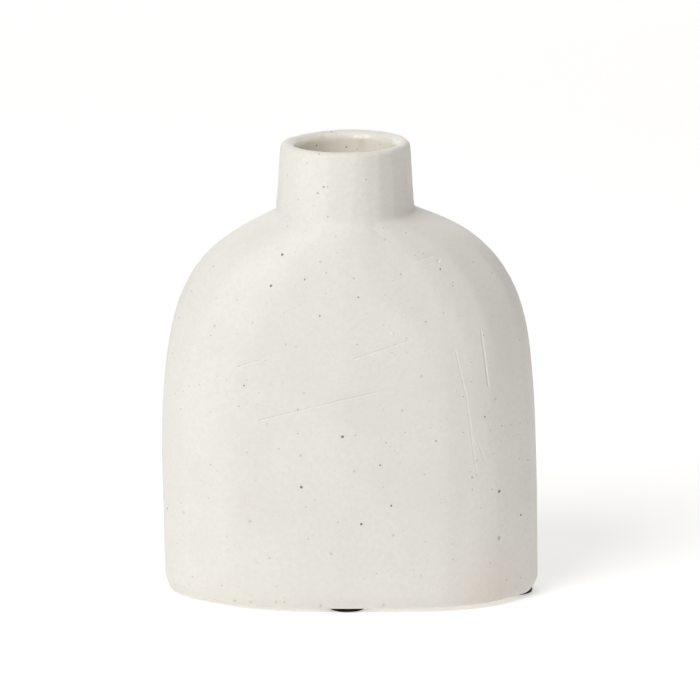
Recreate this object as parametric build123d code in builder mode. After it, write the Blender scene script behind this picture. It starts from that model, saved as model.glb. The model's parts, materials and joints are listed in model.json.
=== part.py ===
from build123d import *

import os
from math import sqrt

# Ceramic bud vase: a hollow, oval-bodied stoneware vase on four stick-on rubber pads.
# Units are millimetres. +Z is up, +X is along the wide side and -Y is the front.
# The origin is on the table, under the centre of the vase.

# Driving dimensions
TOTAL_HEIGHT = 124.0
BODY_WIDTH = 100.4
BODY_DEPTH = 54.0
WALL = 4.2
FLOOR = 5.0
MOUTH_DIAMETER = 27.0
RIM_OUTER_ROUNDING = 1.5
FOOT_ROUNDING = 0.7
CAVITY_FLOOR_ROUNDING = 6.0

# The shoulder is a dome that would close at this height if the neck did not rise out of it
DOME_TOP = 105.8
SHOULDER_FULLNESS = 6.3
SHOULDER_ROUNDNESS = 2.2
FRONT_FULLNESS = 3.0
FRONT_ROUNDNESS = 1.6

# Sections are drawn as four Bezier quarters. A handle of this share of the radius makes an
# ellipse, and a longer one makes the body's sections a little squarer than an oval.
ROUND_HANDLE = 0.5523
BODY_HANDLE = 0.676
SQUARE_BELOW = 74.0

# The neck narrows a little towards the rim, and is truly round from NECK_START up
NECK_FOOT_RADIUS = 18.7
NECK_RIM_RADIUS = 17.6
NECK_BLEND = 4.6
NECK_START = 112.0

# Each stick-on pad is a rubber disc on a thin disc of adhesive
PAD_DIAMETER = 10.0
PAD_THICKNESS = 1.0
PAD_EDGE_ROUNDING = 0.3
ADHESIVE_DIAMETER = 9.6
ADHESIVE_THICKNESS = 0.2

BASE_HEIGHT = PAD_THICKNESS + ADHESIVE_THICKNESS
CAVITY_FLOOR_HEIGHT = BASE_HEIGHT + FLOOR
MOUTH_RADIUS = MOUTH_DIAMETER / 2
RIM_START = TOTAL_HEIGHT - RIM_OUTER_ROUNDING
RIM_CROWN_RADIUS = NECK_RIM_RADIUS - RIM_OUTER_ROUNDING
MOUTH_ROUNDING = RIM_CROWN_RADIUS - MOUTH_RADIUS
BORE_TOP = TOTAL_HEIGHT - MOUTH_ROUNDING

# Heights of the oval sections, closer together where the shoulder turns into the neck
SIDE_LEVELS = [14, 26, 37, 47, 56, 64, 71, 77, 82]
SHOULDER_LEVELS = [86.5, 90.5, 94, 97, 99.5, 101.5, 103.5, 105.5, 107.5, 109.5]
BODY_LEVELS = [*SIDE_LEVELS, *SHOULDER_LEVELS]
FLOOR_LEVELS = [CAVITY_FLOOR_HEIGHT + rise for rise in (0, 0.4, 1.2, 2.4, 4)]

# Where the pads are stuck by hand, near the ends of the oval's two axes
PAD_PLACES = {
    "front": (-0.8, -19.8),
    "right": (44.5, -3),
    "back": (0.5, 19.4),
    "left": (-43.5, 1),
}


def dome_share(height, top, fullness, roundness):
    """Share of its full size that a dome closing at `top` still has at this height."""
    if height >= top:
        return 0.0
    return (1 - (height / top) ** fullness) ** (1 / roundness)


def half_width(full, neck, height, top):
    """Half width of a section: the dome and the neck, melted together where they meet."""
    dome = full * dome_share(height, top, SHOULDER_FULLNESS, SHOULDER_ROUNDNESS)
    return (dome**NECK_BLEND + neck**NECK_BLEND) ** (1 / NECK_BLEND)


def half_depth(full, neck, height, top):
    """Half depth of a section: it swells gently from the round neck to the full depth."""
    return neck + (full - neck) * dome_share(height, top, FRONT_FULLNESS, FRONT_ROUNDNESS)


def neck_radius(height):
    """Outer radius of the neck, which keeps its foot radius below the shoulder."""
    rise = max(height - DOME_TOP, 0) / (TOTAL_HEIGHT - DOME_TOP)
    return NECK_FOOT_RADIUS + rise * (NECK_RIM_RADIUS - NECK_FOOT_RADIUS)


def outer_radii(height):
    """Half width and half depth of the outside at this height."""
    neck = neck_radius(height)
    across = half_width(BODY_WIDTH / 2, neck, height, DOME_TOP)
    return across, half_depth(BODY_DEPTH / 2, neck, height, DOME_TOP)


def cavity_radii(height):
    """Half width and half depth of the hollow, one wall inside, with a rounded floor."""
    top = DOME_TOP - WALL
    across = half_width(BODY_WIDTH / 2 - WALL, MOUTH_RADIUS, height, top)
    deep = half_depth(BODY_DEPTH / 2 - WALL, MOUTH_RADIUS, height, top)
    below_round = max(CAVITY_FLOOR_HEIGHT + CAVITY_FLOOR_ROUNDING - height, 0)
    inset = CAVITY_FLOOR_ROUNDING - sqrt(CAVITY_FLOOR_ROUNDING**2 - below_round**2)
    return across - inset, deep - inset


def handle_share(height):
    """Length of the Bezier handles at this height: square-shouldered below, round at the neck."""
    rise = min(max((height - SQUARE_BELOW) / (DOME_TOP - SQUARE_BELOW), 0), 1)
    return BODY_HANDLE + (ROUND_HANDLE - BODY_HANDLE) * rise * rise * (3 - 2 * rise)


def draw_oval(across, deep, handle):
    """The four quarters of one section, in the sketch line that is open."""
    ends = [Vector(across, 0), Vector(0, deep), Vector(-across, 0), Vector(0, -deep)]
    for start, end in zip(ends, ends[1:] + ends[:1]):
        Bezier(start, start + end * handle, end + start * handle, end)


def draw_circle(radius):
    """A round section in quarters, so that it meets the ovals corner to corner."""
    for quarter in range(4):
        CenterArc((0, 0), radius, start_angle=90 * quarter, arc_size=90)


# The hollow ceramic body, from its flat base to its rounded rim
with BuildPart() as vase_body:
    for level in [BASE_HEIGHT, *BODY_LEVELS]:
        with BuildSketch(Plane.XY.offset(level)):
            with BuildLine():
                draw_oval(*outer_radii(level), handle_share(level))
            make_face()
    with BuildSketch(Plane.XY.offset(NECK_START)):
        with BuildLine():
            draw_circle(neck_radius(NECK_START))
        make_face()
    loft()
    fillet(vase_body.edges().group_by(Axis.Z)[0], radius=FOOT_ROUNDING)
    for level in [*FLOOR_LEVELS, *BODY_LEVELS]:
        with BuildSketch(Plane.XY.offset(level)):
            with BuildLine():
                draw_oval(*cavity_radii(level), handle_share(level))
            make_face()
    with BuildSketch(Plane.XY.offset(NECK_START)):
        with BuildLine():
            draw_circle(MOUTH_RADIUS)
        make_face()
    loft(mode=Mode.SUBTRACT)
    # The straight neck, with a fully rounded rim and the round bore
    with BuildSketch(Plane.XZ):
        with BuildLine():
            outer_side = Line(
                (neck_radius(NECK_START), NECK_START),
                (neck_radius(RIM_START), RIM_START),
            )
            outer_round = TangentArc(
                outer_side @ 1, (RIM_CROWN_RADIUS, TOTAL_HEIGHT), tangent=outer_side % 1
            )
            inner_round = TangentArc(
                outer_round @ 1, (MOUTH_RADIUS, BORE_TOP), tangent=outer_round % 1
            )
            bore_side = Line(inner_round @ 1, (MOUTH_RADIUS, NECK_START))
            Line(bore_side @ 1, outer_side @ 0)
        make_face()
    revolve(axis=Axis.Z)

vase_body.part.label = "vase_body"

os.makedirs("parts", exist_ok=True)
export_step(vase_body.part, "parts/vase_body.step")

for name, place in PAD_PLACES.items():
    with BuildPart() as foot_pad:
        with BuildSketch(Plane.XY):
            with Locations(place):
                Circle(PAD_DIAMETER / 2)
        extrude(amount=PAD_THICKNESS)
        fillet(foot_pad.edges().group_by(Axis.Z)[0], radius=PAD_EDGE_ROUNDING)
    foot_pad.part.label = f"foot_pad_{name}"
    export_step(foot_pad.part, f"parts/foot_pad_{name}.step")

    with BuildPart() as pad_adhesive:
        with BuildSketch(Plane.XY.offset(PAD_THICKNESS)):
            with Locations(place):
                Circle(ADHESIVE_DIAMETER / 2)
        extrude(amount=ADHESIVE_THICKNESS)
    pad_adhesive.part.label = f"pad_adhesive_{name}"
    export_step(pad_adhesive.part, f"parts/pad_adhesive_{name}.step")
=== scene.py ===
"""Ceramic bud vase: the looks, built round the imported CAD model.

Metres, in the CAD model's frame: +Z up, the front towards -Y, the origin on the table under the vase.
"""

import json
import math
import random

import bmesh
import bpy
import numpy as np
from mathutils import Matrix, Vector, noise
from mathutils.bvhtree import BVHTree


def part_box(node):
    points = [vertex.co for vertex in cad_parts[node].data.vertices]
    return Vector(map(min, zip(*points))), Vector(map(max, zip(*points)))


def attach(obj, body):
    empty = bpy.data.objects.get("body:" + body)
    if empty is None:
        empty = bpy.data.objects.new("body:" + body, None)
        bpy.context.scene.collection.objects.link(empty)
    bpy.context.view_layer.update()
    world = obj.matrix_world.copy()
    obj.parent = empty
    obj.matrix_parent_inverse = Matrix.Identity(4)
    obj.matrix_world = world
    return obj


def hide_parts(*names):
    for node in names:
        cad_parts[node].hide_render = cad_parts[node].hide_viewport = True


MM = 0.001

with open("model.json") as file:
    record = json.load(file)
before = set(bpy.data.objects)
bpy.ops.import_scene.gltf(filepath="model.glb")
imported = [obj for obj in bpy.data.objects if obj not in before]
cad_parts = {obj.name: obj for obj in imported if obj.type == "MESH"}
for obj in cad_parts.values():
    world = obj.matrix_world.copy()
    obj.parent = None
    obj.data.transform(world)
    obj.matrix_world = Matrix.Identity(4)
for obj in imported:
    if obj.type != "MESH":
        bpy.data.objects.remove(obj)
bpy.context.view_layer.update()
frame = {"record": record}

# Sizes from the CAD model
body_low, body_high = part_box("vase_body")
BASE = body_low.z
TOP = body_high.z
FULL_WIDTH = body_high.x
FULL_DEPTH = body_high.y
MOUTH_RADIUS = next(m for m in frame["record"]["mounts"] if m["name"] == "neck_bore")["dims"]["r_mm"] * MM

# The shoulder dome and the neck, as the CAD model has them
WALL = 4.2 * MM
FLOOR = 5.0 * MM
RIM_OUTER_ROUNDING = 1.5 * MM
FOOT_ROUNDING = 0.7 * MM
CAVITY_FLOOR_ROUNDING = 6.0 * MM
DOME_TOP = 105.8 * MM
SHOULDER_FULLNESS = 6.3
SHOULDER_ROUNDNESS = 2.2
FRONT_FULLNESS = 3.0
FRONT_ROUNDNESS = 1.6
NECK_FOOT_RADIUS = 18.7 * MM
NECK_RIM_RADIUS = 17.6 * MM
NECK_BLEND = 4.6
RIM_START = TOP - RIM_OUTER_ROUNDING
RIM_CROWN_RADIUS = NECK_RIM_RADIUS - RIM_OUTER_ROUNDING
MOUTH_ROUNDING = RIM_CROWN_RADIUS - MOUTH_RADIUS
BORE_TOP = TOP - MOUTH_ROUNDING

# The body's section is a little squarer than an oval, and the neck's is round
BODY_SQUARENESS = 2.45
ROUND = 2.0

# The hand-made changes to the neck start about this high
NECK_START = 99 * MM


def share(value, low, high):
    """0 below low, 1 above high, and a smooth rise between them."""
    t = np.clip((value - low) / (high - low), 0, 1)
    return t * t * (3 - 2 * t)


def fall(value, low, high):
    """1 below low, 0 above high, and a smooth fall between them."""
    return share(-value, -high, -low)


# ---------------------------------------------------------------- the body's shape


def dome_share(height, top, fullness, roundness):
    """How much of its full width or depth a dome has left at a height: 1 at the base and 0 at its top."""
    return np.clip(1 - np.clip(height / top, 0, 1) ** fullness, 0, 1) ** (1 / roundness)


def neck_radius(height):
    rise = np.clip((height - DOME_TOP) / (TOP - DOME_TOP), 0, 1)
    return NECK_FOOT_RADIUS + rise * (NECK_RIM_RADIUS - NECK_FOOT_RADIUS)


def section(height, full_width, full_depth, neck, top):
    """Half width and half depth where a dome of that size melts into a neck."""
    dome = full_width * dome_share(height, top, SHOULDER_FULLNESS, SHOULDER_ROUNDNESS)
    across = (dome**NECK_BLEND + neck**NECK_BLEND) ** (1 / NECK_BLEND)
    deep = neck + (full_depth - neck) * dome_share(height, top, FRONT_FULLNESS, FRONT_ROUNDNESS)
    return across, deep


def outside(height):
    return section(height, FULL_WIDTH, FULL_DEPTH, neck_radius(height), DOME_TOP)


def hollow(height):
    """Half width and half depth of the cavity, with its floor's rounding."""
    across, deep = section(height, FULL_WIDTH - WALL, FULL_DEPTH - WALL, MOUTH_RADIUS, DOME_TOP - WALL)
    below_round = np.clip(BASE + FLOOR + CAVITY_FLOOR_ROUNDING - height, 0, CAVITY_FLOOR_ROUNDING)
    inset = CAVITY_FLOOR_ROUNDING - np.sqrt(CAVITY_FLOOR_ROUNDING**2 - below_round**2)
    return across - inset, deep - inset


WALL_SAMPLES = 4000


def even_heights(low, high, radii, t):
    """Heights at even steps along the wall between two heights, for t from 0 to 1."""
    heights = np.linspace(low, high, WALL_SAMPLES)
    across, _ = radii(heights)
    steps = np.hypot(np.diff(across), np.diff(heights))
    along = np.concatenate([[0], np.cumsum(steps)])
    return np.interp(t * along[-1], along, heights)


def underside(t):
    across, deep = outside(BASE)
    return t * (across - FOOT_ROUNDING), t * (deep - FOOT_ROUNDING), np.full_like(t, BASE)


def foot(t):
    height = BASE + FOOT_ROUNDING * (1 - np.cos(t * math.pi / 2))
    across, deep = outside(height)
    inset = FOOT_ROUNDING * (1 - np.sin(t * math.pi / 2))
    return across - inset, deep - inset, height


def side(t):
    height = even_heights(BASE + FOOT_ROUNDING, RIM_START, outside, t)
    across, deep = outside(height)
    return across, deep, height


RIM_OUTER_SHARE = 0.4


def rim(t):
    """Up over a small rounding outside, and down a wide one into the mouth."""
    up = t / RIM_OUTER_SHARE
    down = 1 + (t - RIM_OUTER_SHARE) / (1 - RIM_OUTER_SHARE)
    sweep = np.where(t < RIM_OUTER_SHARE, up, down)
    rounding = np.where(t < RIM_OUTER_SHARE, RIM_OUTER_ROUNDING, MOUTH_ROUNDING)
    radius = RIM_CROWN_RADIUS + rounding * np.cos(sweep * math.pi / 2)
    return radius, radius, TOP - rounding + rounding * np.sin(sweep * math.pi / 2)


def inner_wall(t):
    height = even_heights(BASE + FLOOR, BORE_TOP, hollow, 1 - t)
    across, deep = hollow(height)
    return across, deep, height


def cavity_floor(t):
    across, deep = hollow(BASE + FLOOR)
    return (1 - t) * across, (1 - t) * deep, np.full_like(t, BASE + FLOOR)


# One section of the wall, from under the base, up the outside and down the inside, with its rows of faces
PATH = [(underside, 9), (foot, 7), (side, 128), (rim, 20), (inner_wall, 62), (cavity_floor, 8)]
FIRST_ROW = dict(zip([piece for piece, _ in PATH], np.cumsum([0] + [rows for _, rows in PATH])))
ROWS = sum(rows for _, rows in PATH)
COLUMNS = 240

# The gloss glaze fades in over the rim's rounding, from this row
GLAZE_START = FIRST_ROW[rim] + 9


def wall_path(row):
    """Half width, half depth and height at each place along the wall path, counted in rows."""
    across, deep, height = np.zeros_like(row), np.zeros_like(row), np.zeros_like(row)
    for piece, rows in PATH:
        first = FIRST_ROW[piece]
        here = (row >= first) & (row <= first + rows)
        across[here], deep[here], height[here] = piece((row[here] - first) / rows)
    return across, deep, height


def oval(across, deep, squareness, angle):
    """Points of a squarish oval, by the angle round it."""
    c, s = np.cos(angle), np.sin(angle)
    grow = (np.abs(c) ** squareness + np.abs(s) ** squareness) ** (-1 / squareness)
    return np.stack([across * c * grow, deep * s * grow], axis=-1)


# The ridges between the flats that a hand scraped, in degrees round from the right end, -90 at the front:
# where each runs on the body, on the shoulder and on the neck, and how flat the stretch after it is
RIDGES = [
    (-192, -190, -180, 0.5),
    (-168, -164, -158, 0.5),
    (-146, -138, -132, 0.5),
    (-126, -113, -106, 0.6),
    (-92, -94, -84, 0.5),
    (-60, -84, -72, 0.7),
    (-50, -60, -61, 0.8),
    (-44, -44, -46, 0.7),
    (-22, -22, -24, 0.5),
    (-2, -2, -2, 0.5),
    (21, 20, 22, 0.6),
    (38, 44, 50, 0.6),
    (56, 66, 74, 0.7),
    (87, 88, 92, 0.5),
    (116, 108, 112, 0.6),
    (136, 132, 136, 0.5),
    (152, 154, 158, 0.5),
]

# Averaging the facets over these small turns softens the ridges, which also wander a little with the height
RIDGE_TURNS = np.radians((-2, -1, 0, 1, 2))
RIDGE_WANDER = 0.02
WANDER_HEIGHT = 7 * MM


def ridge_angles(height):
    """The angle of each ridge, in radians, at each height, with the first one again at the end."""
    body, shoulder, neck = (np.radians(angles) for angles in list(zip(*RIDGES))[:3])
    up_shoulder = share(height, 62 * MM, 98 * MM)[:, None]
    up_neck = share(height, NECK_START, 107 * MM)[:, None]
    ridges = body + up_shoulder * (shoulder - body) + up_neck * (neck - shoulder)
    return np.column_stack([ridges, ridges[:, 0] + 2 * math.pi])


def faceted(across, deep, squareness, angle, ridges):
    """The oval with its arcs partly flattened between the ridges."""
    angle = (angle - ridges[:, 0]) % (2 * math.pi) + ridges[:, 0]
    index = np.clip(np.sum(ridges <= angle[:, None], axis=1) - 1, 0, len(RIDGES) - 1)
    every = np.arange(len(index))
    start, end = ridges[every, index], ridges[every, index + 1]
    t = ((angle - start) / (end - start))[:, None]
    chord = (1 - t) * oval(across, deep, squareness, start) + t * oval(across, deep, squareness, end)
    flat = np.array([flatness for *_, flatness in RIDGES])[index][:, None]
    return (1 - flat) * oval(across, deep, squareness, angle) + flat * chord


# What the hand-built shape adds to the even one
BODY_SAG = 0.6 * MM
SAG_HEIGHT = 95 * MM
NECK_LEAN = 1.1 * MM
SHOULDER_TILT = 0.008
UPPER_BODY_SLIMMING = 0.006
LEFT_TUCK = 1.1 * MM
RIGHT_TUCK = 1.0 * MM
LEFT_NARROWING = 0.18
RIGHT_NARROWING = 0.06
FRONT_WEAR = 0.8 * MM
FRONT_WEAR_WIDTH = 12 * MM
RIGHT_FLARE = 0.55 * MM
NECK_LEFT_SWELL = 0.25 * MM
NECK_RIGHT_SLIMMING = 0.4 * MM
RIM_DIP = 0.35 * MM
RIM_DIP_PLACE = -11 * MM
RIM_DIP_WIDTH = 9 * MM


def lean(x, z):
    """How far the body sags and the neck leans to the left, with the upper body a little slimmer."""
    sag = -BODY_SAG * np.sin(np.clip(z / SAG_HEIGHT, 0, 1) * math.pi) ** 2
    neck = -NECK_LEAN * share(z, NECK_START, 108 * MM)
    slim = -UPPER_BODY_SLIMMING * x * share(z, 50 * MM, 72 * MM) * fall(z, 85 * MM, 100 * MM)
    return sag + neck + slim


def foot_ends(x, z):
    """How far the foot tucks in at both ends and the lower wall flares out at the right."""
    left_end = share(-x / FULL_WIDTH, 0.5, 1)
    right_end = share(x / FULL_WIDTH, 0.5, 1)
    tuck = LEFT_TUCK * left_end * fall(z, BASE, 7 * MM) ** 2
    tuck -= RIGHT_TUCK * right_end * fall(z, BASE, 5 * MM) ** 2
    return tuck + RIGHT_FLARE * right_end * fall(z, 25 * MM, 70 * MM)


def foot_depth(x, y, z):
    """How much shallower the foot is towards its ends and where the middle of the front is worn."""
    narrowing = LEFT_NARROWING * share(-x / FULL_WIDTH, 0.3, 1)
    narrowing = narrowing + RIGHT_NARROWING * share(x / FULL_WIDTH, 0.6, 1)
    squeeze = -narrowing * y * fall(z, BASE, 24 * MM)
    middle = np.exp(-((x / FRONT_WEAR_WIDTH) ** 2))
    return squeeze + FRONT_WEAR * middle * share(-y, 0, 20 * MM) * fall(z, BASE, 12 * MM)


def neck_sides(x, z):
    """How the neck's left side swells a little at its foot and its right side stays slimmer to the rim."""
    left = share(-x / NECK_FOOT_RADIUS, 0.4, 1)
    right = share(x / NECK_FOOT_RADIUS, 0.4, 1)
    swell = -NECK_LEFT_SWELL * left * share(z, NECK_START, 104 * MM) * fall(z, 105 * MM, 112 * MM)
    return swell - NECK_RIGHT_SLIMMING * right * share(z, 97 * MM, 103 * MM)


def tilt_and_dip(x, y, z):
    """How the shoulder rises to the right, and the rim dips at the back on the left."""
    tilt = SHOULDER_TILT * x * share(z, 80 * MM, 100 * MM)
    dip = -RIM_DIP * np.exp(-(((x - RIM_DIP_PLACE) / RIM_DIP_WIDTH) ** 2)) * share(y, -8 * MM, 14 * MM)
    return tilt + dip * share(z, 108 * MM, 122 * MM)


def leaning(points):
    """The points with the lean, wear and small faults of a hand-built vase."""
    x, y, z = points.T
    moved_x = x + lean(x, z) + foot_ends(x, z) + neck_sides(x, z)
    return np.stack([moved_x, y + foot_depth(x, y, z), z + tilt_and_dip(x, y, z)], axis=-1)


def body_points(column, row):
    """Points of the body for columns round it and rows along the wall path."""
    across, deep, height = wall_path(row)
    squareness = ROUND + (BODY_SQUARENESS - ROUND) * share(-height, -DOME_TOP, -0.7 * DOME_TOP)
    angle = math.pi / 2 - 2 * math.pi * column / COLUMNS
    smooth = oval(across, deep, squareness, angle)
    ridges = ridge_angles(height)
    scraped = 0
    for turn in RIDGE_TURNS:
        turned = angle + turn + RIDGE_WANDER * np.sin(height / WANDER_HEIGHT)
        scraped = scraped + faceted(across, deep, squareness, turned, ridges)
        scraped = scraped - oval(across, deep, squareness, turned)
    outer = 1 - share(row, FIRST_ROW[rim], FIRST_ROW[inner_wall])
    flat = smooth + scraped / len(RIDGE_TURNS) * outer[:, None]
    return leaning(np.column_stack([flat, height]))


# The main scratches on the front, as (x, height) in mm, with their half width and depth in mm
MAIN_SCRATCHES = [
    ([(-24, 53), (-2, 59), (7, 61)], 0.26, 0.26),
    ([(1, 70), (16, 75)], 0.25, 0.21),
    ([(-30, 67), (-22, 70)], 0.25, 0.18),
    ([(35, 76), (37, 61)], 0.24, 0.28),
    ([(28, 72), (31, 59), (34, 37)], 0.22, 0.09),
    ([(34, 47), (36, 41)], 0.22, 0.10),
    ([(6, 104), (12, 100)], 0.26, 0.09),
]

# A scratch this deep in mm gets the full painted highlight along it, and a nick gets painted shade in a pit
# or a painted highlight on a lump
FULL_HIGHLIGHT_DEPTH = 0.13
PIT_PAINTED_SHADE = -0.5
LUMP_PAINTED_HIGHLIGHT = 0.3

# The painted shade in a pit, or painted highlight on a lump, is narrower than its relief by this
SHADE_SHARPNESS = 1.3

# How strong the burr beside a scratch and round a nick is
SCRATCH_BURR = 0.7
NICK_BURR = 0.5

# How far the small marks scatter over the front, in mm, and the chips along the foot as a share of that
SCATTER_WIDTH = 46
SCATTER_HEIGHTS = (4, 102)
CHIP_HEIGHTS = (2, 3)
CHIP_SPREAD = 0.7

# Half the width of a faint scratch, and the depths that a nick may have, in mm
FAINT_HALF_WIDTH = 0.24
NICK_DEPTHS = (0.12, 0.14, 0.18, 0.26, -0.14, -0.2)


def scatter(seed, count, heights=SCATTER_HEIGHTS):
    """Random places over the front, as (x, height) in mm, with the source that further draws come from."""
    draw = random.Random(seed)
    for _ in range(count):
        yield draw.uniform(-SCATTER_WIDTH, SCATTER_WIDTH), draw.uniform(*heights), draw


def faint_scratches():
    """Short faint scratches, nearly level, in the form of MAIN_SCRATCHES."""
    for x, height, draw in scatter(seed=3, count=11):
        run, rise = draw.uniform(3, 6), draw.uniform(-1.5, 1.5)
        yield [(x, height), (x + run, height + rise)], FAINT_HALF_WIDTH, draw.uniform(0.04, 0.08)


def small_nicks():
    """Small pits, small lumps with a minus, and chips along the foot, with their radius and depth in mm."""
    for x, height, draw in scatter(seed=5, count=26):
        yield x, height, draw.uniform(0.35, 0.45), draw.choice(NICK_DEPTHS)
    for x, height, draw in scatter(seed=8, count=6, heights=CHIP_HEIGHTS):
        yield x * CHIP_SPREAD, height, draw.uniform(0.4, 0.5), draw.uniform(0.14, 0.2)


SCRATCHES = [*MAIN_SCRATCHES, *faint_scratches()]
NICKS = list(small_nicks())


def distance_to_line(x, z, points):
    """Distance in the front view from each point to a line of straight runs."""
    nearest = np.full(x.shape, np.inf)
    for (x0, z0), (x1, z1) in zip(points, points[1:]):
        run = np.array([x1 - x0, z1 - z0])
        t = np.clip(((x - x0) * run[0] + (z - z0) * run[1]) / run.dot(run), 0, 1)
        nearest = np.minimum(nearest, np.hypot(x - x0 - t * run[0], z - z0 - t * run[1]))
    return nearest


def mark_distance(points):
    """Distance in the front view, in mm, from each point of the front to the nearest scratch or nick."""
    x, y, z = points.T / MM
    nearest = np.full(x.shape, np.inf)
    for line, _, _ in SCRATCHES:
        nearest = np.minimum(nearest, distance_to_line(x, z, line))
    for nick_x, nick_height, _, _ in NICKS:
        nearest = np.minimum(nearest, np.hypot(x - nick_x, z - nick_height))
    return np.where(y < 0, nearest, np.inf)


def marks(points):
    """What the scratches and nicks add: height in mm, and their painted light and shade.

    A full painted highlight along a scratch or on a lump is 1, and below 0 is painted shade in a pit.
    """
    x, y, z = points.T / MM
    relief, painted_light = np.zeros_like(x), np.zeros_like(x)
    for line, half_width, depth in SCRATCHES:
        far = distance_to_line(x, z, line) / half_width
        relief -= depth * (1 - SCRATCH_BURR * far**2) * np.exp(-(far**2))
        # Painted highlight along the scratch, fuller the deeper it is
        painted_light = np.maximum(painted_light, min(depth / FULL_HIGHLIGHT_DEPTH, 1) * np.exp(-(far**2)))
    for nick_x, nick_height, radius, depth in NICKS:
        far = np.hypot(x - nick_x, z - nick_height) / radius
        relief -= depth * (1 - NICK_BURR * far**2) * np.exp(-(far**2))
        # Painted shade in a pit, and a painted highlight on a lump
        painted_light += (PIT_PAINTED_SHADE if depth > 0 else LUMP_PAINTED_HIGHLIGHT) * np.exp(-((SHADE_SHARPNESS * far) ** 2))
    return np.where(y < 0, relief, 0), np.where(y < 0, painted_light, 0)


# Beads of glaze at the back of the mouth, as (x, height) with their radius and height above the wall in mm
GLAZE_BEADS = [(3, 122, 0.8, 0.35), (-8, 123, 0.6, 0.18), (-11, 122, 0.5, 0.10)]


def glaze_beads(point, normal):
    """Height in mm of the beads of glaze, on the wall that faces the front from the back of the mouth."""
    total = 0
    if point.y > 0 and normal.y < 0:
        for x, height, radius, swell in GLAZE_BEADS:
            far = math.hypot(point.x / MM - x, point.z / MM - height) / radius
            total += swell * math.exp(-(far**2))
    return total


# The waves, dimples and upright strokes that the hands left, in mm: how high and how long
WAVE_HEIGHT, WAVE_LENGTH = 0.16, 24
DIMPLE_HEIGHT, DIMPLE_LENGTH = 0.05, 9
STROKE_HEIGHT, STROKE_WIDTH, STROKE_LENGTH = 0.05, 3.2, 20

# The waves are stretched upwards by the inverse of this
WAVE_SQUASH = 0.35


def unevenness(point):
    """Height in mm of the slow waves, dimples and short upright strokes."""
    x, y, z = point / MM
    wave = noise.noise(Vector((x, y, z * WAVE_SQUASH)) / WAVE_LENGTH)
    dimple = noise.noise(Vector((x, y, z)) / DIMPLE_LENGTH + Vector((7, 0, 0)))
    drawn_out = Vector((x / STROKE_WIDTH, y / STROKE_WIDTH, z / STROKE_LENGTH))
    stroke = noise.noise(drawn_out + Vector((0, 3, 0)))
    return wave * WAVE_HEIGHT + dimple * DIMPLE_HEIGHT + stroke * STROKE_HEIGHT


# The grid is split once for each of these, where a face's centre is nearer to a mark than this in mm
REFINED_REACHES = (1.3, 0.9, 0.65)


def refine(mesh):
    """Splits the faces near the scratches and nicks into quarters, three times over, nearer each time."""
    for reach in REFINED_REACHES:
        centres = np.array([face.calc_center_median() for face in mesh.faces])
        near = mark_distance(body_points(centres[:, 0], centres[:, 1])) < reach
        near &= centres[:, 1] < FIRST_ROW[rim]
        mesh.faces.ensure_lookup_table()
        edges = {edge for index in np.flatnonzero(near) for edge in mesh.faces[index].edges}
        bmesh.ops.subdivide_edges(mesh, edges=list(edges), cuts=1, use_grid_fill=True)
    bmesh.ops.triangulate(mesh, faces=[face for face in mesh.faces if len(face.verts) > 4])


# The waves and strokes fade out below this height, so that the underside stays flat
CALM_FOOT_HEIGHT = 3 * MM


def build_body():
    """The ceramic body: a flat grid of columns and rows, refined, and then wrapped into the vase."""
    mesh = bmesh.new()
    grid = [[mesh.verts.new((column, row, 0)) for column in range(COLUMNS + 1)] for row in range(ROWS + 1)]
    for lower, upper in zip(grid, grid[1:]):
        for column in range(COLUMNS):
            mesh.faces.new((lower[column], lower[column + 1], upper[column + 1], upper[column]))
    refine(mesh)

    places = np.array([vertex.co for vertex in mesh.verts])
    points = body_points(places[:, 0], places[:, 1])
    glaze = mesh.verts.layers.float.new("glaze")
    outer = 1 - share(places[:, 1], GLAZE_START, FIRST_ROW[inner_wall])
    for vertex, point, open_air in zip(mesh.verts, points, outer):
        vertex.co = point
        vertex[glaze] = 1 - open_air
    bmesh.ops.remove_doubles(mesh, verts=mesh.verts, dist=0.002 * MM)
    bmesh.ops.recalc_face_normals(mesh, faces=mesh.faces)
    mesh.normal_update()

    points = np.array([vertex.co for vertex in mesh.verts])
    # The painted light and shade of the marks, kept on the points for the material
    painted_light_layer = mesh.verts.layers.float.new("painted_mark_light")
    for vertex, mark, painted_light in zip(mesh.verts, *marks(points)):
        vertex[painted_light_layer] = painted_light
        open_air = 1 - vertex[glaze]
        calm_foot = min(max((vertex.co.z - BASE) / CALM_FOOT_HEIGHT, 0), 1)
        swell = mark + unevenness(np.array(vertex.co)) * calm_foot
        swell = float(swell * open_air) + glaze_beads(vertex.co, vertex.normal)
        vertex.co += vertex.normal * swell * MM
    return finish_mesh(mesh, "vase_body_ceramic")


def finish_mesh(mesh, name):
    """A smooth-shaded object from a bmesh."""
    data = bpy.data.meshes.new(name)
    mesh.to_mesh(data)
    mesh.free()
    data.shade_smooth()
    piece = bpy.data.objects.new(name, data)
    bpy.context.scene.collection.objects.link(piece)
    return piece


# ---------------------------------------------------------------- the pads


DISC_STEPS = 96
WOBBLE_WAVES = 1.7


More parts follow.
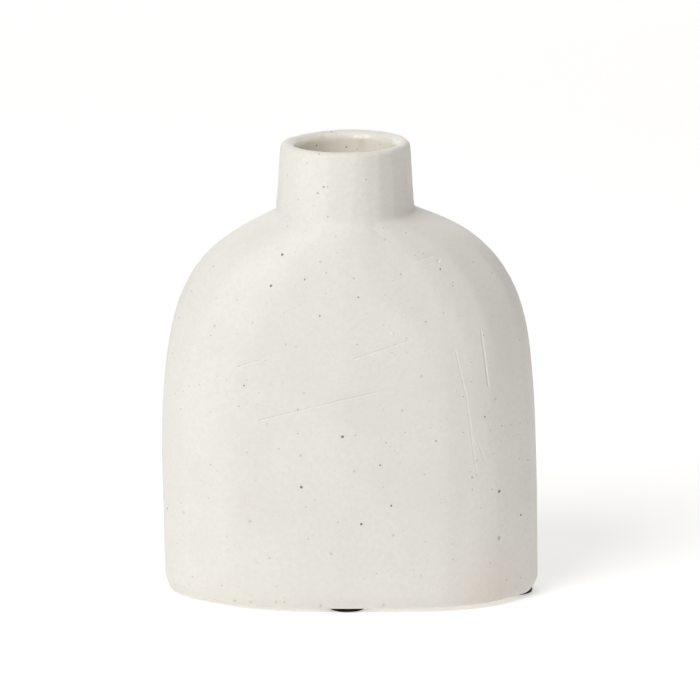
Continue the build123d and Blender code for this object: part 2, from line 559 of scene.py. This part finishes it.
def lathe(profile, name, wobble):
    """A closed disc, a little out of round, from (radius, height) points, bottom centre to top centre."""
    widest = profile[len(profile) // 2][0]
    mesh = bmesh.new()
    rings = []
    for radius, height in profile:
        ring = []
        for step in range(DISC_STEPS):
            angle = 2 * math.pi * step / DISC_STEPS
            around = Vector((math.cos(angle), math.sin(angle), height / MM))
            r = radius + wobble * noise.noise(around * WOBBLE_WAVES) * (radius / widest)
            ring.append(mesh.verts.new((r * math.cos(angle), r * math.sin(angle), height)))
        rings.append(ring)
    for lower, upper in zip(rings, rings[1:]):
        for step in range(DISC_STEPS):
            after = (step + 1) % DISC_STEPS
            mesh.faces.new((lower[step], lower[after], upper[after], upper[step]))
    bmesh.ops.remove_doubles(mesh, verts=mesh.verts, dist=0.001 * MM)
    bmesh.ops.recalc_face_normals(mesh, faces=mesh.faces)
    return finish_mesh(mesh, name)


def arc(centre_radius, centre_height, radius, start, end, steps):
    """Points of a rounded edge, from one angle to another in degrees."""
    angles = np.radians(np.linspace(start, end, steps))
    return [(centre_radius + radius * math.cos(a), centre_height + radius * math.sin(a)) for a in angles]


def build_pad(place):
    """One rubber pad: a disc with a soft lower edge, a crisper upper one and a slightly uneven outline."""
    low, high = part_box(f"foot_pad_{place}")
    centre = (low + high) / 2
    radius, thickness = (high.x - low.x) / 2, high.z - low.z
    edge, upper_edge = 0.35 * MM, 0.2 * MM
    profile = [(share_out * (radius - edge), 0) for share_out in (0, 0.25, 0.5, 0.75)]
    profile += arc(radius - edge, edge, edge, -90, 0, 7)
    profile += arc(radius - upper_edge, thickness - upper_edge, upper_edge, 0, 90, 5)
    profile += [(share_out * (radius - edge), thickness) for share_out in (0.75, 0.5, 0.25, 0)]
    pad = lathe(profile, f"foot_pad_{place}_rubber", 0.05 * MM)
    pad.location = (centre.x, centre.y, low.z)
    return pad


def build_adhesive(place):
    """The thin film of adhesive between a pad and the base, a little squeezed out of round."""
    low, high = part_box(f"pad_adhesive_{place}")
    centre = (low + high) / 2
    radius, thickness = (high.x - low.x) / 2, high.z - low.z
    profile = [(share_out * radius, 0) for share_out in (0, 0.3, 0.6, 0.9)]
    profile += arc(radius - thickness / 2, thickness / 2, thickness / 2, -90, 90, 7)
    profile += [(share_out * radius, thickness) for share_out in (0.9, 0.6, 0.3, 0)]
    film = lathe(profile, f"pad_adhesive_{place}_film", 0.12 * MM)
    film.location = (centre.x, centre.y, low.z)
    return film


# ---------------------------------------------------------------- materials


# A dot is solid out to the first share of its radius and gone at the second
DOT_CORE = 0.7
DOT_EDGE = 1.15

# A placed speck with this radius in mm, or more, has the full strength
FULL_STRENGTH_RADIUS = 0.3


class Nodes:
    """Short names for the node set-ups that the materials share."""

    def __init__(self, name):
        self.material = bpy.data.materials.new(name)
        self.material.use_nodes = True
        self.tree = self.material.node_tree
        self.shader = self.tree.nodes["Principled BSDF"]
        self.place = self.tree.nodes.new("ShaderNodeTexCoord").outputs["Object"]

    def put(self, socket, value):
        if isinstance(value, bpy.types.NodeSocket):
            self.tree.links.new(value, socket)
        elif value is not None:
            socket.default_value = value

    def attribute(self, name):
        node = self.tree.nodes.new("ShaderNodeAttribute")
        node.attribute_name = name
        return node.outputs["Fac"]

    def math(self, operation, first, second=None, clamp=False):
        node = self.tree.nodes.new("ShaderNodeMath")
        node.operation, node.use_clamp = operation, clamp
        self.put(node.inputs[0], first)
        self.put(node.inputs[1], second)
        return node.outputs[0]

    def vector(self, operation, first, second):
        node = self.tree.nodes.new("ShaderNodeVectorMath")
        node.operation = operation
        self.put(node.inputs[0], first)
        self.put(node.inputs[1], second)
        return node.outputs["Value" if operation == "DISTANCE" else "Vector"]

    def noise(self, scale, detail=2.0, stretch=(1, 1, 1), shift=(0, 0, 0), colour=False):
        node = self.tree.nodes.new("ShaderNodeTexNoise")
        moved = self.vector("ADD", self.vector("MULTIPLY", self.place, stretch), shift)
        self.put(node.inputs["Vector"], moved)
        self.put(node.inputs["Scale"], scale)
        self.put(node.inputs["Detail"], detail)
        return node.outputs["Color" if colour else "Fac"]

    def map(self, value, low, high, to_low=0.0, to_high=1.0):
        """A smooth change from one number to another while the value goes from low to high."""
        node = self.tree.nodes.new("ShaderNodeMapRange")
        node.interpolation_type = "SMOOTHSTEP"
        for socket, number in zip(node.inputs, (value, low, high, to_low, to_high)):
            self.put(socket, number)
        return node.outputs[0]

    def mix(self, share_of_second, first, second):
        """Two colours mixed. A Mix node's sockets 6 and 7 and its output 2 are those for colours."""
        node = self.tree.nodes.new("ShaderNodeMix")
        node.data_type = "RGBA"
        self.put(node.inputs["Factor"], share_of_second)
        self.put(node.inputs[6], first)
        self.put(node.inputs[7], second)
        return node.outputs[2]

    def mix_numbers(self, share_of_second, first, second):
        """Two numbers mixed. A Mix node's sockets 2 and 3 and its output 0 are those for numbers."""
        node = self.tree.nodes.new("ShaderNodeMix")
        self.put(node.inputs[0], share_of_second)
        self.put(node.inputs[2], first)
        self.put(node.inputs[3], second)
        return node.outputs[0]

    def dots(self, spacing, radius, shift):
        """Small round dots where a cloud of points cuts the surface, and a random number for each."""
        node = self.tree.nodes.new("ShaderNodeTexVoronoi")
        self.put(node.inputs["Vector"], self.vector("ADD", self.place, shift))
        self.put(node.inputs["Scale"], 1 / spacing)
        edge = radius / spacing
        dot = self.map(node.outputs["Distance"], DOT_CORE * edge, DOT_EDGE * edge, 1.0, 0.0)
        split = self.tree.nodes.new("ShaderNodeSeparateColor")
        self.put(split.inputs[0], node.outputs["Color"])
        return dot, split.outputs[0]

    def specks(self, ragged, places):
        """Ragged spots round places given as (point, radius in mm), with the small ones fainter."""
        spots = 0.0
        for point, radius in places:
            far = self.vector("DISTANCE", ragged, point)
            strength = min(radius / FULL_STRENGTH_RADIUS, 1)
            spot = self.map(far, DOT_CORE * radius * MM, DOT_EDGE * radius * MM, strength, 0.0)
            spots = self.math("MAXIMUM", spots, spot)
        return spots

    def bump(self, height, strength, distance):
        node = self.tree.nodes.new("ShaderNodeBump")
        self.put(node.inputs["Strength"], strength)
        self.put(node.inputs["Distance"], distance)
        self.put(node.inputs["Height"], height)
        return node.outputs[0]


# The boldest iron specks on the front, as (x, height, radius) in mm
SPECKS = [
    (-21, 89, 0.35), (-18, 97, 0.33), (-2, 49, 0.40), (-13, 35, 0.38), (3, 25, 0.35), (40, 32, 0.40),
    (11, 30, 0.30), (24, 93, 0.28), (36, 53, 0.28), (46, 24, 0.30), (-12, 91, 0.24), (-7, 115, 0.25),
]

# Those at the back of the neck, seen through the mouth
NECK_SPECKS = [(-5, 123.5, 0.25), (-1, 119.5, 0.25), (2, 119, 0.17), (8, 121, 0.17)]

# A faint tan stain low on the right
STAIN_PLACE = (38 * MM, 0, 5 * MM)
STAIN_RADIUS = 17 * MM

# One larger, paler rusty fleck, as (x, height, half width, half height) in mm
RUSTY_FLECK = (40, 19, 0.40, 0.65)

# The clay's own tones, and the pale tone painted as highlight along scratches and on lumps
CLAY = (0.830, 0.805, 0.745, 1)
PALE_CLAY = (0.860, 0.836, 0.776, 1)
STREAKED_CLAY = (0.865, 0.842, 0.78, 1)
MOTTLED_CLAY = (0.795, 0.770, 0.707, 1)
MARK_HIGHLIGHT_TONE = (0.95, 0.935, 0.885, 1)
GLAZED_CLAY = (0.985, 0.95, 0.845, 1)

# The tones of the marks in it and on it, of the painted shade in the pits, and of the darker foot
TAN_STAIN = (0.81, 0.68, 0.59, 1)
FOOT_DARKENING = (0.72, 0.68, 0.59, 1)
PIT_SHADE = (0.42, 0.39, 0.33, 1)
DUST_SPECK = (0.38, 0.30, 0.21, 1)
FINE_SPECK = (0.20, 0.145, 0.095, 1)
RUST = (0.42, 0.34, 0.24, 1)
IRON = (0.085, 0.058, 0.040, 1)


def on_body(body, places, start):
    """Where a line towards the back meets the body at each place, with the speck's radius."""
    tree = BVHTree.FromObject(body, bpy.context.evaluated_depsgraph_get())
    found = []
    for x, height, radius in places:
        point, *_ = tree.ray_cast(Vector((x * MM, start, height * MM)), Vector((0, 1, 0)))
        if point is None:
            point, *_ = tree.find_nearest(Vector((x * MM, 0, height * MM)))
        found.append((point, radius))
    return found


def clay_tone(n, glaze):
    """Cloudy, streaked and mottled clay, paler and warmer under the glaze."""
    cloud = n.noise(45, 3.0)
    streak = n.noise(150, 3.0, stretch=(1, 1, 0.12), shift=(3, 0, 0))
    mottle = n.noise(900, 3.0, shift=(0, 5, 0))
    tone = n.mix(n.map(cloud, 0.35, 0.65), CLAY, PALE_CLAY)
    tone = n.mix(n.map(streak, 0.3, 0.7, 0.0, 0.25), tone, STREAKED_CLAY)
    tone = n.mix(n.map(mottle, 0.3, 0.7, 0.0, 0.50), tone, MOTTLED_CLAY)
    return n.mix(glaze, tone, n.mix(0.05, GLAZED_CLAY, tone))


def bold_specks(n, ragged, back, body):
    """The placed specks, the bold random ones of the back and the middling ones of all sides."""
    placed = on_body(body, SPECKS, -2 * FULL_DEPTH) + on_body(body, NECK_SPECKS, 0)
    large, large_random = n.dots(7.0 * MM, 0.38 * MM, (0.017, 0.002, 0.011))
    large = n.math("MULTIPLY", large, n.map(large_random, 0.0, 0.7, 0.2, 1.0))
    middling, middling_random = n.dots(5.2 * MM, 0.27 * MM, (0.023, 0.019, 0.041))
    middling = n.math("MULTIPLY", middling, n.map(middling_random, 0.0, 1.0, 0.25, 0.85))
    bold = n.math("MAXIMUM", n.specks(ragged, placed), n.math("MULTIPLY", large, back))
    return n.math("MAXIMUM", bold, middling)


def rusty_fleck(n, ragged, back):
    """One upright oval fleck on the front."""
    x, height, half_width, half_height = RUSTY_FLECK
    stretched = n.vector("MULTIPLY", ragged, (1, 0, half_width / half_height))
    far = n.vector("DISTANCE", stretched, (x * MM, 0, height * MM * half_width / half_height))
    fleck = n.map(far, 0.6 * half_width * MM, 1.2 * half_width * MM, 0.6, 0.0)
    return n.math("MULTIPLY", fleck, n.math("SUBTRACT", 1.0, back))


def stoneware(body):
    """Matt off-white stoneware with iron specks, and a clear gloss glaze inside."""
    n = Nodes("speckled_stoneware")
    glaze, painted_mark_light = n.attribute("glaze"), n.attribute("painted_mark_light")
    axes = n.tree.nodes.new("ShaderNodeSeparateXYZ")
    n.put(axes.inputs[0], n.place)
    height = axes.outputs[2]
    back = n.math("GREATER_THAN", axes.outputs[1], 0.0)

    ragged = n.vector("SUBTRACT", n.noise(2600, 2.0, colour=True), (0.5, 0.5, 0.5))
    ragged = n.vector("ADD", n.place, n.vector("MULTIPLY", ragged, (0.35 * MM,) * 3))
    bold = bold_specks(n, ragged, back, body)
    fine, fine_random = n.dots(2.6 * MM, 0.24 * MM, (0.011, 0.004, 0.02))
    fine = n.math("MULTIPLY", fine, n.map(fine_random, 0.2, 1.0, 0.04, 0.40))
    dust, dust_random = n.dots(1.5 * MM, 0.17 * MM, (0.031, 0.014, 0.05))
    dust = n.math("MULTIPLY", dust, n.map(dust_random, 0.3, 1.0, 0.0, 0.30))
    stain = n.vector("DISTANCE", n.vector("MULTIPLY", n.place, (1, 0, 1)), STAIN_PLACE)

    tone = clay_tone(n, glaze)
    tone = n.mix(n.map(stain, 0.0, STAIN_RADIUS, 0.30, 0.0), tone, TAN_STAIN)
    # Darker and warmer towards the bottom, over the lowest 5 mm
    tone = n.mix(n.map(height, BASE, BASE + 5 * MM, 0.26, 0.0), tone, FOOT_DARKENING)
    # Painted highlight along the scratches and on the lumps, and painted shade in the pits
    tone = n.mix(n.math("MULTIPLY", painted_mark_light, 0.22, clamp=True), tone, MARK_HIGHLIGHT_TONE)
    tone = n.mix(n.math("MULTIPLY", painted_mark_light, -1.0, clamp=True), tone, PIT_SHADE)
    tone = n.mix(dust, tone, DUST_SPECK)
    tone = n.mix(fine, tone, FINE_SPECK)
    tone = n.mix(rusty_fleck(n, ragged, back), tone, RUST)
    tone = n.mix(n.math("MULTIPLY", bold, 0.85), tone, IRON)
    n.put(n.shader.inputs["Base Color"], tone)

    grain = n.noise(1400, 4.0)
    matt = n.map(grain, 0.3, 0.7, 0.50, 0.62)
    n.put(n.shader.inputs["Roughness"], n.mix_numbers(glaze, matt, 0.10))

    pits, _ = n.dots(3.0 * MM, 0.28 * MM, (0.001, 0.024, 0.07))
    relief = n.math("SUBTRACT", n.math("MULTIPLY", grain, 0.4), pits)
    relief = n.math("SUBTRACT", relief, n.math("MULTIPLY", bold, 0.8))
    n.put(n.shader.inputs["Normal"], n.bump(relief, 0.6, 0.08 * MM))
    return n.material


def rubber():
    """Near-black matt rubber with a fine moulded grain and some dust on it."""
    n = Nodes("pad_rubber")
    dusty = n.map(n.noise(700, 4.0), 0.5, 0.8, 0.0, 0.5)
    tone = n.mix(dusty, (0.007, 0.0065, 0.006, 1), (0.030, 0.028, 0.026, 1))
    n.put(n.shader.inputs["Base Color"], tone)
    n.put(n.shader.inputs["Roughness"], n.map(n.noise(1500, 2.0), 0.3, 0.7, 0.55, 0.8))
    n.put(n.shader.inputs["Specular IOR Level"], 0.2)
    n.put(n.shader.inputs["Normal"], n.bump(n.noise(3500, 3.0), 0.6, 0.05 * MM))
    return n.material


def adhesive():
    """Acrylic adhesive film, dark because it lies on black rubber, with cloudy patches."""
    n = Nodes("pad_adhesive_film")
    tone = n.mix(n.noise(900, 3.0), (0.045, 0.043, 0.038, 1), (0.10, 0.095, 0.085, 1))
    n.put(n.shader.inputs["Base Color"], tone)
    n.put(n.shader.inputs["Roughness"], n.map(n.noise(500, 2.0), 0.3, 0.7, 0.25, 0.45))
    n.put(n.shader.inputs["Normal"], n.bump(n.noise(1200, 2.0), 0.4, 0.05 * MM))
    return n.material


def floor_paper():
    """Pale matt paper that glows a little, like a lit studio table."""
    n = Nodes("studio_paper")
    tone = n.mix(n.noise(3, 2.0), (0.88, 0.88, 0.88, 1), (0.91, 0.91, 0.91, 1))
    n.put(n.shader.inputs["Base Color"], tone)
    n.put(n.shader.inputs["Roughness"], 0.9)
    n.put(n.shader.inputs["Emission Color"], (1, 1, 1, 1))
    n.put(n.shader.inputs["Emission Strength"], 0.34)
    return n.material


# ---------------------------------------------------------------- the studio


FLOOR_REACH = 12.0


def build_floor():
    corners = [(x * FLOOR_REACH, y * FLOOR_REACH, 0) for x, y in ((-1, -1), (1, -1), (1, 1), (-1, 1))]
    data = bpy.data.meshes.new("studio_floor")
    data.from_pydata(corners, [], [(0, 1, 2, 3)])
    floor = bpy.data.objects.new("studio_floor", data)
    bpy.context.scene.collection.objects.link(floor)
    floor.data.materials.append(floor_paper())


SOFTBOX_AIM = Vector((0, 0, 0.06))


def add_softbox(name, place, size, power, colour=(1, 1, 1)):
    """A soft rectangular light that faces the middle of the vase and that the camera doesn't see."""
    data = bpy.data.lights.new(name, "AREA")
    data.shape, data.size, data.size_y = "RECTANGLE", *size
    data.energy = power
    data.color = colour
    light = bpy.data.objects.new(name, data)
    light.location = place
    light.rotation_euler = (SOFTBOX_AIM - Vector(place)).to_track_quat("-Z", "Y").to_euler()
    light.visible_camera = False
    bpy.context.scene.collection.objects.link(light)


def build_studio():
    build_floor()
    add_softbox("key_softbox", (-0.764, -0.879, 1.108), (1.0, 1.0), 15.6)
    add_softbox("overhead_softbox", (0.1, -0.1, 1.6), (1.4, 1.4), 8.2)
    add_softbox("right_softbox", (1.3, 0.75, 0.75), (1.0, 1.0), 3, (1, 0.95, 0.90))
    add_softbox("back_softbox", (-0.2, 1.7, 0.7), (2.6, 1.0), 12)
    world = bpy.data.worlds.new("studio_air")
    world.use_nodes = True
    world.node_tree.nodes["Background"].inputs["Color"].default_value = (0.065, 0.060, 0.056, 1)
    bpy.context.scene.world = world
    bpy.context.scene.view_settings.view_transform = "Standard"


def build_camera():
    """A long lens in front of the vase, a little above it."""
    data = bpy.data.cameras.new("camera")
    data.lens = 323.5
    data.sensor_width = 36
    data.clip_end = 50
    camera = bpy.data.objects.new("camera", data)
    camera.location = (0, -1.6495, 0.4626)
    aim = Vector((0, 0, 0.06645))
    camera.rotation_euler = (aim - camera.location).to_track_quat("-Z", "Y").to_euler()
    bpy.context.scene.collection.objects.link(camera)
    bpy.context.scene.camera = camera


# ---------------------------------------------------------------- making it all

build_camera()
build_studio()

body = build_body()
body.data.materials.append(stoneware(body))
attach(body, "root")
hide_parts("vase_body")

pad_rubber = rubber()
adhesive_film = adhesive()
for place in ("front", "right", "back", "left"):
    pad = build_pad(place)
    pad.data.materials.append(pad_rubber)
    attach(pad, "root")
    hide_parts(f"foot_pad_{place}")
    film = build_adhesive(place)
    film.data.materials.append(adhesive_film)
    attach(film, "root")
    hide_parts(f"pad_adhesive_{place}")
